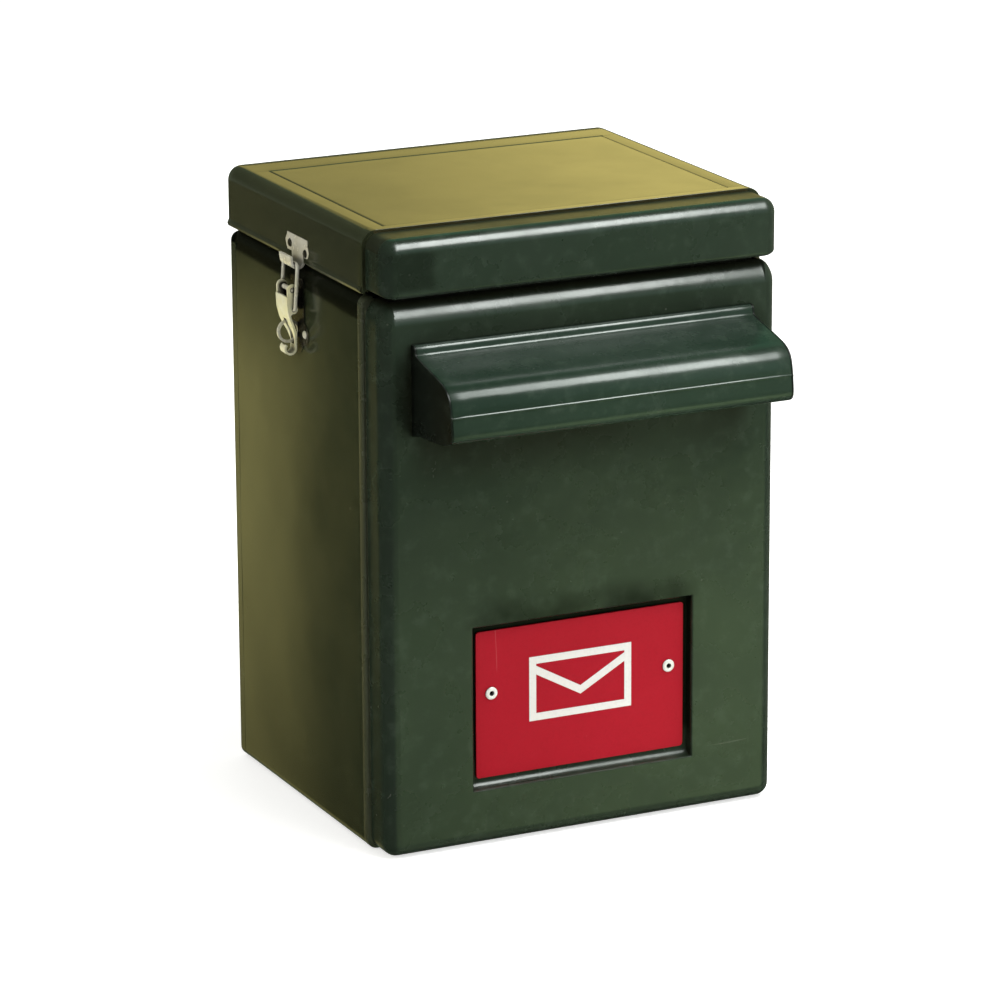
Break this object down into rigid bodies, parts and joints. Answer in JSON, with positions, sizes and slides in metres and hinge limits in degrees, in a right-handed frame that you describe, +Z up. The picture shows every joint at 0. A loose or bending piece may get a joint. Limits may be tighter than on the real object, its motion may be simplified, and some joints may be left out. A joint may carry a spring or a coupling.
{
  "type": "mailbox",
  "caption": "Sheet-metal wall mailbox with a hooded letter slot, a side-hinged lid held by a toggle latch, and a riveted label plate in a pressed recess.",
  "frame": {"origin": "middle of the lower face of the back rim, in the plane the box stands on and 3.5 mm in front of the back sheet", "axes": "+Z up, front with the letter slot towards -Y, latch on the -X side, hinges on the +X side"},
  "size_m": [0.2792, 0.2776, 0.3768],
  "materials": {
    "green_paint": "gloss",
    "neck_paint": "satin",
    "red_plate": "satin",
    "eyelet": "satin",
    "plated_latch": "satin",
    "hinge_steel": "satin"
  },
  "bodies": {
    "box": {"body_back_panel": "green_paint", "body_front_pan": "green_paint", "body_wrap": "green_paint", "hinge_front_body_rivet_a": "hinge_steel", "hinge_front_body_rivet_b": "hinge_steel", "hinge_front_leaf_body": "hinge_steel", "hinge_front_pin": "hinge_steel", "hinge_rear_body_rivet_a": "hinge_steel", "hinge_rear_body_rivet_b": "hinge_steel", "hinge_rear_leaf_body": "hinge_steel", "hinge_rear_pin": "hinge_steel", "hood_end_left": "green_paint", "hood_end_right": "green_paint", "hood_shell": "green_paint", "label_eyelet_left": "eyelet", "label_eyelet_right": "eyelet", "label_plate": "red_plate", "latch_base": "plated_latch", "latch_base_rivet_front": "plated_latch", "latch_base_rivet_rear": "plated_latch", "lever_pivot_pin": "plated_latch", "neck_frame": "neck_paint", "padlock_eye": "plated_latch"},
    "lid": {"hinge_front_leaf_lid": "hinge_steel", "hinge_front_lid_rivet_a": "hinge_steel", "hinge_front_lid_rivet_b": "hinge_steel", "hinge_rear_leaf_lid": "hinge_steel", "hinge_rear_lid_rivet_a": "hinge_steel", "hinge_rear_lid_rivet_b": "hinge_steel", "lid_back_panel": "green_paint", "lid_front_pan": "green_paint", "lid_wrap": "green_paint", "strike_plate": "plated_latch", "strike_rivet_front": "plated_latch", "strike_rivet_rear": "plated_latch"},
    "lever": {"latch_lever": "plated_latch"},
    "bail": {"bail_wire": "plated_latch"}
  },
  "joints": [
    {"name": "lid_hinge", "type": "hinge", "parent": "box", "child": "lid", "pos_m": [0.1323, -0.1047, 0.3387], "axis": [0, 1, 0], "range_deg": [0, 105]},
    {"name": "lever_hinge", "type": "hinge", "parent": "box", "child": "lever", "pos_m": [-0.1375, -0.0977, 0.3245], "axis": [0, 1, 0], "range_deg": [0, 150], "deforming": ["bail_wire"]},
    {"name": "bail_hinge", "type": "hinge", "parent": "lever", "child": "bail", "pos_m": [-0.1369, -0.0977, 0.3125], "axis": [0, 1, 0], "range_deg": [-150, 0]}
  ],
  "couplings": [
    {"joint": "bail_hinge", "follows": "lever_hinge", "ratio": -1}
  ]
}
